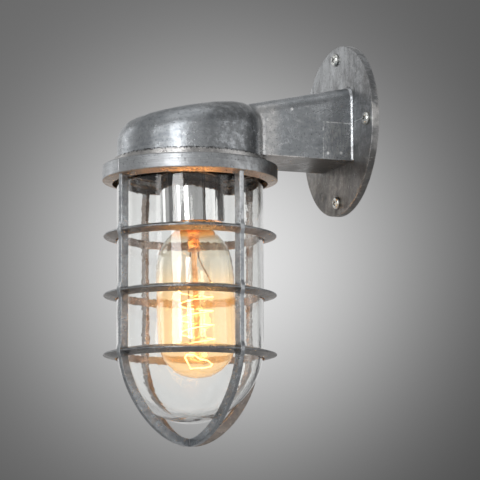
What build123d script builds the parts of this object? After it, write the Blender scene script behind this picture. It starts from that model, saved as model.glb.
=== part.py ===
"""Wall lantern: cast arm and hood on a round wall plate, screw-on guard cage, clear jar and filament bulb.

Millimetres. The origin is the centre of the wall plate's back face, +Y runs into the wall and +Z is up.
"""
from build123d import *
import os
from math import atan2, degrees, radians, sqrt, tan

# Clearances
THREAD_GAP = 0.3          # guard ring's thread on the hood
JAR_PLAY = 0.7            # jar flange inside the guard ring
JAR_GAP = 0.2             # jar flange under the hood's gasket
LIP_GAP = 0.1             # jar cushion over the guard's lip
HOOP_GAP = 0.7            # hoops around the jar
SCREW_GAP = 0.05          # a screw's shank in its thread
HOLE_GAP = 0.25           # a screw's shank in a plain hole
CAP_GAP = 0.4             # bulb cap in the screw shell
CONTACT_GAP = 0.15        # bulb contact under the plunger
SEAT_GAP = 0.1            # fitted pieces of the lamp holder and bulb
WIRE_GAP = 0.3            # wires of the bulb that meet end to side
BLIND_END = 1.0           # hole left empty past a screw's end

# Overall layout
LAMP_REACH = 115.0        # wall face to the jar's axis
RING_TOP = -32.5          # height of the guard ring's upper face
BAR_TURN = 16.2           # the cage's bars, turned from the wall plane
LEAN = 2.3                # the lamp holder hangs a touch off plumb, its foot towards the wall

# Jar and its seals
JAR_R = 50.0
JAR_T = 2.6
JAR_H = 171.3
JAR_BOWL = 52.0           # height of the rounded foot
JAR_FLOOR_T = 3.2
JAR_FLANGE_T = 2.6
JAR_ROOT = 2.0            # cone under the flange
FLANGE_SEAT = 2.4         # width of the flange on the guard's lip
GASKET_T = 1.0
GASKET_W = 7.6
CUSHION_T = 0.9
CUSHION_W = 2.0

# Guard cage
LIP_EDGE = 3.2            # daylight between the jar and the guard's lip
LIP_T = 2.2
LIP_DROP = 2.0            # how far the lip's cone hangs below the ring's foot
RING_WALL = 3.7
RING_ROUND = 0.7
SEAM_W = 0.8              # the mould's seam up the ring's wall
SEAM_H = 0.4
SEAM_TURN = 0.9           # degrees round the ring from a bar's middle to the seam
HOOP_COUNT = 3
HOOP_FIRST = 38.0         # first hoop below the ring
HOOP_LAST = 1.5           # last hoop below the start of the bars' bend
HOOP_INSET = 1.0
HOOP_H = 5.6
HOOP_NOSE = 1.4           # height of the hoop's rim where its wedge ends
HOOP_TIP = 0.5
BAR_INSET = 2.0
BAR_T = 5.7
BAR_W = 3.2
BAR_BOWL = 63.4           # height of the bars' bend
BAR_FOOT_T = 5.2
KNUCKLE_H = 10.0          # a bar's swelling over a hoop
KNUCKLE_PROUD = 0.2       # how far it stands past the hoop's rim
FOOT_GAP = 10.2           # daylight under the jar

# Hood and arm casting
WALL = 4.0
THREAD_H = 2.7
THREAD_DROP = 0.3         # thread flange below the ring's upper face
COLLAR_STEP = 3.5
COLLAR_H = 4.8
HOOD_STEP = 2.5
HOOD_TOP = 6.5            # height of the sloping top over the jar's axis
HOOD_SLOPE = 0.18
HOOD_SHOULDER = 17.0
ARM_W = 55.0
ARM_LIFT = 2.4            # arm's underside above the hood's collar
ARM_HEEL = 2.78           # height of the arm's top, run on to the jar's axis
ARM_SLOPE = 0.222         # how the arm's top climbs towards the wall plate
ARM_EDGE = 9.0
ARM_ROOT = 20.0           # how near the jar's axis the arm's duct starts
JOINT_FILLET = 6.0
FLARE_W = 1.0             # how far the arm spreads where it meets the wall plate
FLARE_H = 1.6
BOSS_R = 4.4
BOSS_L = 13.0
BOSS_BITE = 0.4

# Wall plate and screws
PLATE_R = 60.0
PLATE_T = 5.0
PLATE_ROUND = 0.4
PLATE_LAND = 4.5
PLATE_RECESS = 2.0
SCREW_COUNT = 4
SCREW_INSET = 9.0         # wall screws in from the plate's rim
SCREW_TURN = 25.0
WALL_SCREW_R = 2.25
WALL_SCREW_REACH = 3.0    # shank behind the wall face, hidden by the plate's rim
WALL_NECK_R = 2.5         # plain neck under the wall screws' heads
WALL_HEAD_R = 4.4
WALL_HEAD_H = 2.6
M4_R = 2.0
M4_HEAD_R = 3.8
M4_HEAD_H = 2.4
FLAT_HEAD_R = 4.1
FLAT_HEAD_H = 2.0
M3_R = 1.5
M3_HEAD_R = 3.0
M3_HEAD_H = 2.0
GRUB_SLOT_W = 0.6
GRUB_SLOT_H = 0.9
GRUB_SUNK = 0.8
GROMMET_BORE = 4.0
GROMMET_NECK = 8.4
GROMMET_LIP = 2.1
GROMMET_LIP_T = 1.5

# Terminals in the arm
BLOCK_SIDE = 3.5          # terminal block from the arm's inner wall
BLOCK_GAP = 4.0           # terminal block from the arm's bosses
BLOCK_L = 18.0
BLOCK_H = 13.0
BLOCK_PAD = 2.0
BLOCK_SINK = 4.0          # depth of the screw head's recess
BLOCK_ROUND = 1.0
POLE_PITCH = 8.0
POLE_RISE = 5.8           # wire holes above the block's foot
POLE_SPREAD = 5.0         # clamp screws from the block's middle
POLE_R = 1.6
EARTH_SIDE = 8.5          # earth screw from the arm's inner wall
EARTH_GAP = 9.0           # earth screw from the terminal block
EARTH_PAD = 4.5
EYE_R = 4.0
EYE_T = 0.8
EYE_TAB = 7.0
WIRE_R = 1.0
WIRE_GRIP = 3.0           # length of a wire held in a terminal
WIRE_LANE = 1.6           # feed wires from the nipple's axis
WIRE_ARCH = 7.5           # feed wires over the nipple's rim
WIRE_START = 10.0         # straight run of a feed wire from the block

# Lamp holder
BRIDGE_RISE = 12.0        # bridge above the hood's collar
BRIDGE_T = 2.0
BRIDGE_W = 15.0
BRIDGE_GAP = 3.0
BRIDGE_ROUND = 4.0
LUG_L = 13.0
LUG_H = 9.0
LUG_SKIN = 3.0
LUG_SCREW = 4.5
NUT_R = 8.0
NUT_T = 3.0
NIPPLE_R = 5.0
NIPPLE_BORE = 3.6
NIPPLE_TAIL = 5.0
NIPPLE_PROUD = 2.0
NECK_R = 8.0
NECK_H = 7.0
SHELL_R = 22.0
SHELL_T = 1.2
SHELL_H = 43.8
SHELL_ROUND = 6.0
HEADROOM = 9.8
POST_GAP = 1.5            # wire posts from the nipple's side
POST_L = 7.0
POST_W = 6.0
POST_H = 6.0
INSULATOR_H = 27.0
INSULATOR_ROOF = 7.0
COLLAR_RIM = 1.0
COLLAR_PLAY = 1.0
SCREW_SHELL_T = 1.0
SCREW_SHELL_DROP = 1.5
STEM_R = 1.6
STEM_PROUD = 1.5
PLUNGER_R = 4.4
PLUNGER_T = 1.4
PLUNGER_DROP = 0.9
SPRING_PLAY = 1.0         # spring's wire line from the plunger's stem
SPRING_WIRE = 0.32
SPRING_PITCH = 1.3
SPRING_ROOM = 0.6
SPRING_POCKET = 5.0

# Bulb
CAP_R = 13.2
CAP_T = 0.6
CAP_H = 21.5
CAP_CONE = 2.5
CAP_EYE = 8.3
CAP_LAND = 1.2
CONTACT_R = 4.5
CONTACT_T = 1.15
CAP_GLASS = 1.9
BULB_R = 26.8
BULB_H = 104.3
BULB_T = 0.7
NECK_PLAY = 0.6
NECK_SOCKET = 4.0         # bulb's neck up inside its cap
FLARE_RISE = 2.0          # stem's flare up inside the cap
FLARE_RIM = 0.8
TUBE_R = 4.6
TUBE_T = 1.2
TUBE_WAIST = 6.0
PRESS_DROP = 18.0         # the stem's pinched foot below the cap
PRESS_H = 8.0
PRESS_W = 8.4
PRESS_T = 3.2
PRESS_ROUND = 1.2
ROD_R = 1.9
ROD_SINK = 1.0
ROD_CLEAR = 15.3          # rod's end above the bulb's tip
BUTTON_R = 2.8
LEAD_R = 0.45
LEAD_SIDE = 3.0           # leads from the press's middle
LEAD_LANE = 5.2           # long lead from the rod's axis, inside the spiral
LEAD_KNEE = 4.0
HOOK_R = 0.3
HOOK_COUNT = 4
HOOK_FIRST = 0.6          # turns of the spiral before the first hook
HOOK_STEP = 1.15          # turns from hook to hook
SPIRAL_R = 11.5
SPIRAL_PITCH = 9.6
SPIRAL_TURNS = 4.5
SPIRAL_DROP = 39.0        # spiral's top below the cap
SPIRAL_FACE = -90.0
FILAMENT_R = 0.35

# Heights, radii and places that follow from the sizes above
THREAD_TOP = RING_TOP - THREAD_DROP
THREAD_FOOT = THREAD_TOP - THREAD_H
JAR_TOP = THREAD_FOOT - GASKET_T - JAR_GAP
FLANGE_FOOT = JAR_TOP - JAR_FLANGE_T
LIP_TOP = FLANGE_FOOT - CUSHION_T - LIP_GAP
RING_FOOT = LIP_TOP - LIP_T
JAR_FOOT = JAR_TOP - JAR_H
CAGE_INNER_FOOT = JAR_FOOT - FOOT_GAP
CAGE_FOOT = CAGE_INNER_FOOT - BAR_FOOT_T
LIP_R = JAR_R + LIP_EDGE
JAR_FLANGE_R = LIP_R + FLANGE_SEAT
RING_BORE = JAR_FLANGE_R + JAR_PLAY
RING_R = RING_BORE + RING_WALL
THREAD_R = RING_BORE - THREAD_GAP
COLLAR_R = THREAD_R - COLLAR_STEP
COLLAR_TOP = THREAD_TOP + COLLAR_H
HOOD_R = COLLAR_R - HOOD_STEP
BAR_R = RING_R - BAR_INSET
PLATE_FRONT = LAMP_REACH - PLATE_T
ARM_ROOF = ARM_HEEL + ARM_SLOPE * PLATE_FRONT
ARM_FLOOR = COLLAR_TOP + ARM_LIFT
ARM_INSIDE = ARM_FLOOR + WALL
ARM_HALF = ARM_W / 2 - WALL
POLE_COUNT = 3
BLOCK_W = POLE_COUNT * POLE_PITCH
BLOCK_X = ARM_HALF - BLOCK_SIDE - BLOCK_W / 2
BLOCK_BACK = PLATE_FRONT - BOSS_L - BLOCK_GAP
BLOCK_Y = BLOCK_BACK - BLOCK_L / 2
BLOCK_FRONT = BLOCK_BACK - BLOCK_L
POLE_Z = BLOCK_PAD + POLE_RISE
EARTH_X = EARTH_SIDE - ARM_HALF
EARTH_Y = BLOCK_FRONT - EARTH_GAP
BRIDGE_TOP = COLLAR_TOP + BRIDGE_RISE
BRIDGE_FOOT = BRIDGE_TOP - BRIDGE_T
LUG_X = HOOD_R - LUG_SKIN - LUG_L / 2
BRIDGE_SCREW_X = HOOD_R - LUG_SKIN - LUG_L + LUG_SCREW
NIPPLE_TOP = BRIDGE_TOP + NUT_T + NIPPLE_PROUD
NECK_TOP = BRIDGE_FOOT - NUT_T
SHELL_TOP = NECK_TOP - NECK_H
SHELL_FOOT = SHELL_TOP - SHELL_H
SHELL_BORE = SHELL_R - SHELL_T
INSULATOR_TOP = SHELL_TOP - SHELL_T - HEADROOM
INSULATOR_FOOT = INSULATOR_TOP - INSULATOR_H
ROOF_FOOT = INSULATOR_TOP - INSULATOR_ROOF
POST_X = NIPPLE_R + POST_GAP + POST_L / 2
SCREW_SHELL_BORE = CAP_R + CAP_GAP
SCREW_SHELL_R = SCREW_SHELL_BORE + SCREW_SHELL_T
SPRING_R = STEM_R + SPRING_PLAY
PLUNGER_TOP = ROOF_FOOT - PLUNGER_DROP
PLUNGER_FOOT = PLUNGER_TOP - PLUNGER_T
CONTACT_TOP = PLUNGER_FOOT - CONTACT_GAP
CONTACT_FOOT = CONTACT_TOP - CONTACT_T
CAP_TOP = CONTACT_FOOT - CAP_GLASS
CAP_FOOT = CAP_TOP - CAP_H
BULB_FOOT = CAP_FOOT - BULB_H
NECK_GLASS_R = CAP_R - CAP_T - NECK_PLAY
PRESS_FOOT = CAP_FOOT - PRESS_DROP
ROD_FOOT = BULB_FOOT + ROD_CLEAR
SPIRAL_TOP = CAP_FOOT - SPIRAL_DROP
SPIRAL_FOOT = SPIRAL_TOP - SPIRAL_PITCH * SPIRAL_TURNS

PAST = 1.0                # how far a cut runs past the face it leaves
FLOOR = (Align.CENTER, Align.CENTER, Align.MIN)


def ring(r_out, r_in, low, high):
    """An upright tube about the local axis, or a plain disc where r_in is 0."""
    body = Pos(0, 0, low) * Cylinder(r_out, high - low, align=FLOOR)
    if r_in > 0:
        body -= Pos(0, 0, low - PAST) * Cylinder(r_in, high - low + 2 * PAST, align=FLOOR)
    return body


def lathe(points):
    """A turned piece from its (radius, height) outline."""
    outline = Polyline([(r, 0, z) for r, z in points], close=True)
    return revolve(make_face(outline), Axis.Z)


def lathe_edges(edges):
    """A turned piece from a closed run of edges in the XZ plane."""
    return revolve(make_face(edges), Axis.Z)


def side_prism(points, width):
    """A (y, height) outline, thickened evenly to both sides of the YZ plane."""
    outline = Polyline([(0, y, z) for y, z in points], close=True)
    return extrude(make_face(outline), width / 2, both=True)


def round_wire(path, radius):
    """A round wire along a path."""
    return sweep(Plane(origin=path @ 0, z_dir=path % 0) * Circle(radius), path=path)


def routed_wire(points, radius):
    """A round wire in straight runs through the points, each corner rounded as far as its runs allow."""
    spots = [Vector(*p) for p in points]
    bends = []
    for before, corner, after in zip(spots, spots[1:], spots[2:]):
        turn = radians((corner - before).get_angle(after - corner))
        run = min((corner - before).length, (after - corner).length)
        bends.append(0.45 * run / tan(turn / 2))
    return round_wire(FilletPolyline(*points, radius=bends), radius)


def bezier(a, b, c, d):
    """A smooth curve in the XZ plane from its four (radius, height) poles."""
    return Bezier(*[(r, 0, z) for r, z in (a, b, c, d)])


def coil_wire(radius, pitch, turns, wire_r, label):
    """A round wire wound upwards from height 0, its least gap to the next turn measured and printed."""
    path = Helix(pitch=pitch, height=pitch * turns, radius=radius)
    count = 24
    points = [path @ (i / (count * turns)) for i in range(int(count * turns) + 1)]
    gaps = [(points[i + count] - points[i]).length - 2 * wire_r for i in range(len(points) - count)]
    print(label, "least gap between turns", round(min(gaps), 2))
    return round_wire(path, wire_r)


def on_wall(shape):
    """Puts a piece drawn flat, face up, onto the wall: its up becomes out of the wall."""
    return Rot(90, 0, 0) * shape


def on_lamp(shape):
    """Moves a piece drawn about the local axis to the jar's axis."""
    return Pos(0, -LAMP_REACH, 0) * shape


def lean(shape):
    """Tips a piece drawn about the local axis by the lamp holder's lean, about the bridge's foot."""
    return Pos(0, 0, BRIDGE_FOOT) * Rot(LEAN, 0, 0) * Pos(0, 0, -BRIDGE_FOOT) * shape


def lean_point(x, y, z):
    """A point of the leaning frame, in the local upright frame."""
    return tuple(lean(Pos(x, y, z)).position)


def hung(shape):
    """Moves a piece drawn about the local axis onto the leaning lamp-holder axis."""
    return on_lamp(lean(shape))


def cross_recess(size, depth, top):
    """The cross driven into a screw head whose top is at the given height."""
    bar = Pos(0, 0, top - depth) * Box(size, size * 0.24, depth + PAST, align=FLOOR)
    return bar + Rot(0, 0, 90) * bar


def pan_screw(shank_r, shank_l, head_r, head_h):
    """A pan-head screw, head up, seated at height 0."""
    head = ring(head_r, 0, 0, head_h)
    head = fillet(head.edges().group_by(Axis.Z)[-1], head_h * 0.72)
    shank = ring(shank_r, 0, -shank_l, head_h * 0.2)
    return head + shank - cross_recess(head_r * 1.15, head_h * 0.6, head_h)


def flat_screw(shank_r, shank_l, head_r, head_h):
    """A countersunk screw, head up, its top at height 0."""
    head = lathe([(0, 0), (head_r, 0), (shank_r, -head_h), (0, -head_h)])
    shank = ring(shank_r, 0, -shank_l, -head_h * 0.9)
    return head + shank - cross_recess(head_r * 1.2, head_h * 0.5, 0)


def grub_screw(low, high):
    """A slotted clamp screw without a head."""
    slot = Pos(0, 0, high - GRUB_SLOT_H) * Box(3 * M3_R, GRUB_SLOT_W, GRUB_SLOT_H + PAST, align=FLOOR)
    return ring(M3_R, 0, low, high) - slot


def hood_roof(y):
    """Height of the hood's sloping top, y from the jar's axis."""
    return HOOD_TOP + HOOD_SLOPE * y


def arm_roof(y):
    """Height of the arm's top, which climbs towards the wall plate."""
    return ARM_HEEL + ARM_SLOPE * y


def hood_block(radius, low, drop, shoulder):
    """The hood's barrel under its sloping top, which is set down by drop."""
    far = radius + 10 * PAST
    barrel = Pos(0, 0, low) * Cylinder(radius, hood_roof(far) - low, align=FLOOR)
    under = [(-far, low), (far, low), (far, hood_roof(far) - drop), (-far, hood_roof(-far) - drop)]
    block = barrel & side_prism(under, 3 * far)
    return fillet(block.edges().filter_by(GeomType.ELLIPSE), shoulder)


def arm_block(width, floor, drop, edge, end):
    """The arm's duct with its upper edges rounded, its top set down by drop."""
    root = ARM_ROOT
    sides = [(root, floor), (end, floor), (end, arm_roof(end) - drop), (root, arm_roof(root) - drop)]
    block = side_prism(sides, width)
    upper = [e for e in block.edges() if abs((e % 0.5).Y) > 0.9 and e.center().Z > floor + edge]
    return fillet(upper, edge)


def joint_edges(body):
    """The edges where the arm runs into the hood, at its sides and over its top."""
    spots = [(e, e.center()) for e in body.edges()]
    inside = [(e, c) for e, c in spots if abs(c.X) < ARM_W / 2 + PAST and c.Z > ARM_FLOOR + PAST]
    return [e for e, c in inside if 0.55 * HOOD_R < c.Y < 0.95 * HOOD_R]


def arm_flare():
    """The arm's spread foot on the wall plate: wider at its sides and top, level underneath."""
    face = Rectangle(ARM_W + 2 * FLARE_W, ARM_ROOF + FLARE_W - ARM_FLOOR, align=(Align.CENTER, Align.MIN))
    face = fillet(face.vertices().group_by(Axis.Y)[-1], ARM_EDGE + FLARE_W)
    flare = extrude(face, FLARE_H, taper=degrees(atan2(FLARE_W, FLARE_H)))
    return Pos(0, ARM_FLOOR, PLATE_T) * flare


def boss_spots():
    """Where the arm's screw bosses stand on the wall plate, (x, height)."""
    x = ARM_HALF - BOSS_R + BOSS_BITE
    low = ARM_INSIDE + BOSS_R - BOSS_BITE
    high = ARM_ROOF - WALL - ARM_EDGE
    return [(x, high), (-x, high), (x, low), (-x, low)]


def floor_pad(x, y, height, screw_r):
    """A cast pad on the arm's floor and the blind hole for its screw."""
    spot = Pos(x, y, ARM_INSIDE)
    pad = spot * ring(BOSS_R, 0, -WALL / 4, height)
    hole = spot * ring(screw_r + SCREW_GAP, 0, -WALL / 2, height + PAST)
    return pad, hole


def block_screw_spots():
    """Where the terminal block is screwed down, between its poles."""
    return [(BLOCK_X + side * POLE_PITCH / 2, BLOCK_Y) for side in (1, -1)]


def pole_x(number):
    """A pole of the terminal block, from 0 nearest the earth screw."""
    return BLOCK_X + (number - (POLE_COUNT - 1) / 2) * POLE_PITCH


def bridge_lug(side):
    """One cast lug inside the hood that a bridge screw goes up into."""
    lug = Pos(side * LUG_X, 0, BRIDGE_TOP) * Box(LUG_L, BRIDGE_W, LUG_H, align=FLOOR)
    hole = ring(M4_R + SCREW_GAP, 0, BRIDGE_TOP - PAST, BRIDGE_TOP + LUG_H - BLIND_END)
    return lug - Pos(side * BRIDGE_SCREW_X, 0, 0) * hole


def wall_plate():
    disc = ring(PLATE_R, 0, 0, PLATE_T)
    disc = fillet(disc.edges().group_by(Axis.Z)[-1], PLATE_ROUND)
    disc -= ring(PLATE_R - PLATE_LAND, 0, -PAST, PLATE_RECESS)
    disc -= ring(GROMMET_NECK + SEAT_GAP, 0, -PAST, PLATE_T + PAST)
    for spot in PolarLocations(PLATE_R - SCREW_INSET, SCREW_COUNT):
        disc -= spot * ring(WALL_NECK_R + HOLE_GAP, 0, -PAST, PLATE_T + PAST)
    head_r = FLAT_HEAD_R + HOLE_GAP
    hole_r = M4_R + HOLE_GAP
    seat = [(0, 0), (head_r, 0), (head_r, PLATE_RECESS), (hole_r, PLATE_RECESS + FLAT_HEAD_H)]
    seat += [(hole_r, PLATE_T + PAST), (0, PLATE_T + PAST)]
    for x, z in boss_spots():
        disc -= Pos(x, z, 0) * lathe(seat)
    return on_wall(disc)


def arm_housing():
    body = hood_block(HOOD_R, COLLAR_TOP, 0, HOOD_SHOULDER)
    body += arm_block(ARM_W, ARM_FLOOR, 0, ARM_EDGE, PLATE_FRONT)
    body = fillet(joint_edges(body), JOINT_FILLET)
    body += ring(COLLAR_R, 0, THREAD_TOP, COLLAR_TOP)
    body += ring(THREAD_R, 0, THREAD_FOOT, THREAD_TOP)
    body += Pos(0, LAMP_REACH, 0) * on_wall(arm_flare())
    body -= hood_block(HOOD_R - WALL, THREAD_FOOT - PAST, WALL, HOOD_SHOULDER - WALL)
    body -= arm_block(2 * ARM_HALF, ARM_INSIDE, WALL, ARM_EDGE - WALL, PLATE_FRONT + PAST)
    body += lean(bridge_lug(1) + bridge_lug(-1))
    boss = ring(BOSS_R, M4_R + SCREW_GAP, PLATE_T, PLATE_T + BOSS_L)
    for x, z in boss_spots():
        body += Pos(0, LAMP_REACH, 0) * on_wall(Pos(x, z, 0) * boss)
    pads = [floor_pad(EARTH_X, EARTH_Y, EARTH_PAD, M4_R)]
    pads += [floor_pad(x, y, BLOCK_PAD, M3_R) for x, y in block_screw_spots()]
    for pad, _ in pads:
        body += pad
    for _, hole in pads:
        body -= hole
    return on_lamp(body)


def wall_screws():
    screw = pan_screw(WALL_SCREW_R, PLATE_T + WALL_SCREW_REACH, WALL_HEAD_R, WALL_HEAD_H)
    screw += ring(WALL_NECK_R, 0, PLATE_RECESS / 2 - PLATE_T, WALL_HEAD_H * 0.2)
    group = Part()
    for spot in PolarLocations(PLATE_R - SCREW_INSET, SCREW_COUNT):
        group += spot * Pos(0, 0, PLATE_T) * Rot(0, 0, SCREW_TURN) * screw
    return on_wall(group)


def arm_screws():
    length = PLATE_T - PLATE_RECESS + BOSS_L - BLIND_END
    screw = Rot(180, 0, 0) * flat_screw(M4_R, length, FLAT_HEAD_R, FLAT_HEAD_H)
    group = Part()
    for x, z in boss_spots():
        group += Pos(x, z, PLATE_RECESS) * screw
    return on_wall(group)


def cable_grommet():
    lip_r = GROMMET_NECK + GROMMET_LIP
    back = PLATE_RECESS - GROMMET_LIP_T
    front = PLATE_T + GROMMET_LIP_T
    outline = [(GROMMET_BORE, back), (lip_r, back), (lip_r, PLATE_RECESS), (GROMMET_NECK, PLATE_RECESS)]
    outline += [(GROMMET_NECK, PLATE_T), (lip_r, PLATE_T), (lip_r, front), (GROMMET_BORE, front)]
    return on_wall(lathe(outline))


def clamp_spots():
    """Where the terminal block's clamp screws stand."""
    return [(pole_x(n), BLOCK_Y + side * POLE_SPREAD) for n in range(POLE_COUNT) for side in (1, -1)]


def terminal_block():
    top = BLOCK_PAD + BLOCK_H
    block = Pos(BLOCK_X, BLOCK_Y, BLOCK_PAD) * Box(BLOCK_W, BLOCK_L, BLOCK_H, align=FLOOR)
    block = fillet(block.edges().filter_by(Axis.Y), BLOCK_ROUND)
    for x, y in block_screw_spots():
        block -= Pos(x, y, 0) * ring(M3_R + HOLE_GAP, 0, 0, top + PAST)
        block -= Pos(x, y, 0) * ring(M3_HEAD_R + HOLE_GAP, 0, top - BLOCK_SINK, top + PAST)
    for number in range(POLE_COUNT):
        hole = Rot(90, 0, 0) * Cylinder(POLE_R, BLOCK_L + 2 * PAST)
        block -= Pos(pole_x(number), BLOCK_Y, POLE_Z) * hole
    for x, y in clamp_spots():
        block -= Pos(x, y, 0) * ring(M3_R + SCREW_GAP, 0, POLE_Z, top + PAST)
    return on_lamp(Pos(0, 0, ARM_INSIDE) * block)


def terminal_screws():
    group = Part()
    for x, y in clamp_spots():
        group += Pos(x, y, 0) * grub_screw(POLE_Z + WIRE_R + SEAT_GAP, BLOCK_PAD + BLOCK_H - GRUB_SUNK)
    return on_lamp(Pos(0, 0, ARM_INSIDE) * group)


def block_screws():
    seat = BLOCK_PAD + BLOCK_H - BLOCK_SINK
    screw = pan_screw(M3_R, seat + WALL / 2 - BLIND_END, M3_HEAD_R, M3_HEAD_H)
    group = Part()
    for x, y in block_screw_spots():
        group += Pos(x, y, ARM_INSIDE + seat) * screw
    return on_lamp(group)


def earth_screw():
    seat = EARTH_PAD + EYE_T
    screw = pan_screw(M4_R, seat + WALL / 2 - BLIND_END, M4_HEAD_R, M4_HEAD_H)
    return on_lamp(Pos(EARTH_X, EARTH_Y, ARM_INSIDE + seat) * screw)


def earth_wire():
    """The short link from the terminal block's first pole to a ring eye under the earth screw."""
    low = ARM_INSIDE + EARTH_PAD
    tab = Pos(EYE_TAB / 2, 0, low) * Box(EYE_TAB, 2 * WIRE_R, EYE_T, align=FLOOR)
    eye = ring(EYE_R, 0, low, low + EYE_T) + tab
    eye -= ring(M4_R + SCREW_GAP, 0, low - PAST, low + EYE_T + PAST)
    start = EARTH_X + BOSS_R + 2 * WIRE_GAP
    z = low + EYE_T / 2
    x = pole_x(0)
    bend = start + 0.45 * (x - start)
    hole = ARM_INSIDE + POLE_Z
    turn = EARTH_Y + 2 * WIRE_R
    points = [(start, EARTH_Y, z), (bend, EARTH_Y, z), (x, turn, hole), (x, BLOCK_FRONT + WIRE_GRIP, hole)]
    return on_lamp(Pos(EARTH_X, EARTH_Y, 0) * eye + routed_wire(points, WIRE_R))


def feed_wire(number, side):
    """One insulated lead from a pole of the terminal block, through the arm and down the nipple."""
    x = pole_x(number)
    lane = side * WIRE_LANE
    low = ARM_INSIDE + POLE_Z
    over = NIPPLE_TOP + WIRE_ARCH
    knee = BLOCK_FRONT - WIRE_START
    points = [(x, BLOCK_FRONT + WIRE_GRIP, low), (x, knee, low)]
    for share, rise in ((0.34, 0.4), (0.7, 0.85)):
        points.append((x + (lane - x) * share, knee * (1 - share), low + (over - low) * rise))
    post_z = INSULATOR_TOP + POST_H / 2
    end = side * (POST_X - POST_L / 2 + WIRE_GRIP)
    points += [(lane, WIRE_R, over), lean_point(lane, 0, BRIDGE_FOOT)]
    points += [lean_point(lane, 0, post_z), lean_point(end, 0, post_z)]
    return on_lamp(routed_wire(points, WIRE_R))


def holder_bridge():
    length = 2 * (HOOD_R - WALL - BRIDGE_GAP)
    strap = Pos(0, 0, BRIDGE_FOOT) * Box(length, BRIDGE_W, BRIDGE_T, align=FLOOR)
    strap = fillet(strap.edges().filter_by(Axis.Z), BRIDGE_ROUND)
    strap -= ring(NIPPLE_R + SEAT_GAP, 0, BRIDGE_FOOT - PAST, BRIDGE_TOP + PAST)
    for side in (1, -1):
        hole = ring(M4_R + HOLE_GAP, 0, BRIDGE_FOOT - PAST, BRIDGE_TOP + PAST)
        strap -= Pos(side * BRIDGE_SCREW_X, 0, 0) * hole
    return hung(strap)


def bridge_screws():
    length = BRIDGE_T + LUG_H - 2 * BLIND_END
    screw = Rot(180, 0, 0) * pan_screw(M4_R, length, M4_HEAD_R, M4_HEAD_H)
    group = Part()
    for side in (1, -1):
        group += Pos(side * BRIDGE_SCREW_X, 0, BRIDGE_FOOT) * screw
    return hung(group)


def nipple():
    return hung(ring(NIPPLE_R, NIPPLE_BORE, SHELL_TOP - NIPPLE_TAIL, NIPPLE_TOP))


def nipple_nuts():
    nut = extrude(RegularPolygon(NUT_R, 6), NUT_T) - ring(NIPPLE_R + SCREW_GAP, 0, -PAST, NUT_T + PAST)
    return hung(Pos(0, 0, BRIDGE_TOP) * nut + Pos(0, 0, NECK_TOP) * nut)


def holder_shell():
    outer = ring(SHELL_R, 0, SHELL_FOOT, SHELL_TOP)
    outer = fillet(outer.edges().group_by(Axis.Z)[-1], SHELL_ROUND)
    inner = ring(SHELL_BORE, 0, SHELL_FOOT - PAST, SHELL_TOP - SHELL_T)
    inner = fillet(inner.edges().group_by(Axis.Z)[-1], SHELL_ROUND - SHELL_T)
    shell = outer - inner + ring(NECK_R, 0, SHELL_TOP - 2 * SHELL_T, NECK_TOP)
    shell -= ring(NIPPLE_R + SCREW_GAP, 0, SHELL_TOP - 3 * SHELL_T, NECK_TOP + PAST)
    return hung(shell)


def holder_posts():
    """The two brass posts on the insulator that clamp the feed wires."""
    post = Pos(0, 0, INSULATOR_TOP) * Box(POST_L, POST_W, POST_H, align=FLOOR)
    axis = INSULATOR_TOP + POST_H / 2
    post -= Pos(0, 0, axis) * Rot(0, 90, 0) * Cylinder(POLE_R, POST_L + 2 * PAST)
    post -= ring(M3_R + SCREW_GAP, 0, axis, INSULATOR_TOP + POST_H + PAST)
    return hung(Pos(POST_X, 0, 0) * post + Pos(-POST_X, 0, 0) * post)


def post_screws():
    axis = INSULATOR_TOP + POST_H / 2
    grub = grub_screw(axis + WIRE_R + SEAT_GAP, INSULATOR_TOP + POST_H + STEM_PROUD)
    return hung(Pos(POST_X, 0, 0) * grub + Pos(-POST_X, 0, 0) * grub)


def holder_insulator():
    body = ring(SHELL_BORE - SEAT_GAP, 0, INSULATOR_FOOT, INSULATOR_TOP)
    body -= ring(SCREW_SHELL_R + SEAT_GAP, 0, INSULATOR_FOOT - PAST, ROOF_FOOT)
    body -= ring(STEM_R + CAP_GAP, 0, ROOF_FOOT - PAST, INSULATOR_TOP + PAST)
    pocket_r = SPRING_R + SPRING_WIRE + SPRING_ROOM
    body -= ring(pocket_r, 0, ROOF_FOOT - PAST, ROOF_FOOT + SPRING_POCKET)
    return hung(body)


def holder_collar():
    bore = SCREW_SHELL_R + COLLAR_PLAY
    return hung(ring(SHELL_BORE - SEAT_GAP, bore, SHELL_FOOT + COLLAR_RIM, INSULATOR_FOOT))


def screw_shell():
    return hung(ring(SCREW_SHELL_R, SCREW_SHELL_BORE, INSULATOR_FOOT - SCREW_SHELL_DROP, ROOF_FOOT))


def contact_plunger():
    stem = ring(STEM_R, 0, PLUNGER_TOP - PLUNGER_T / 2, INSULATOR_TOP + STEM_PROUD)
    return hung(ring(PLUNGER_R, 0, PLUNGER_FOOT, PLUNGER_TOP) + stem)


def contact_spring():
    room = ROOF_FOOT + SPRING_POCKET - PLUNGER_TOP
    turns = (room - 2 * SPRING_WIRE - 2 * SEAT_GAP) / SPRING_PITCH
    wire = coil_wire(SPRING_R, SPRING_PITCH, turns, SPRING_WIRE, "contact_spring")
    return hung(Pos(0, 0, PLUNGER_TOP + SPRING_WIRE + SEAT_GAP) * wire)


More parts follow.
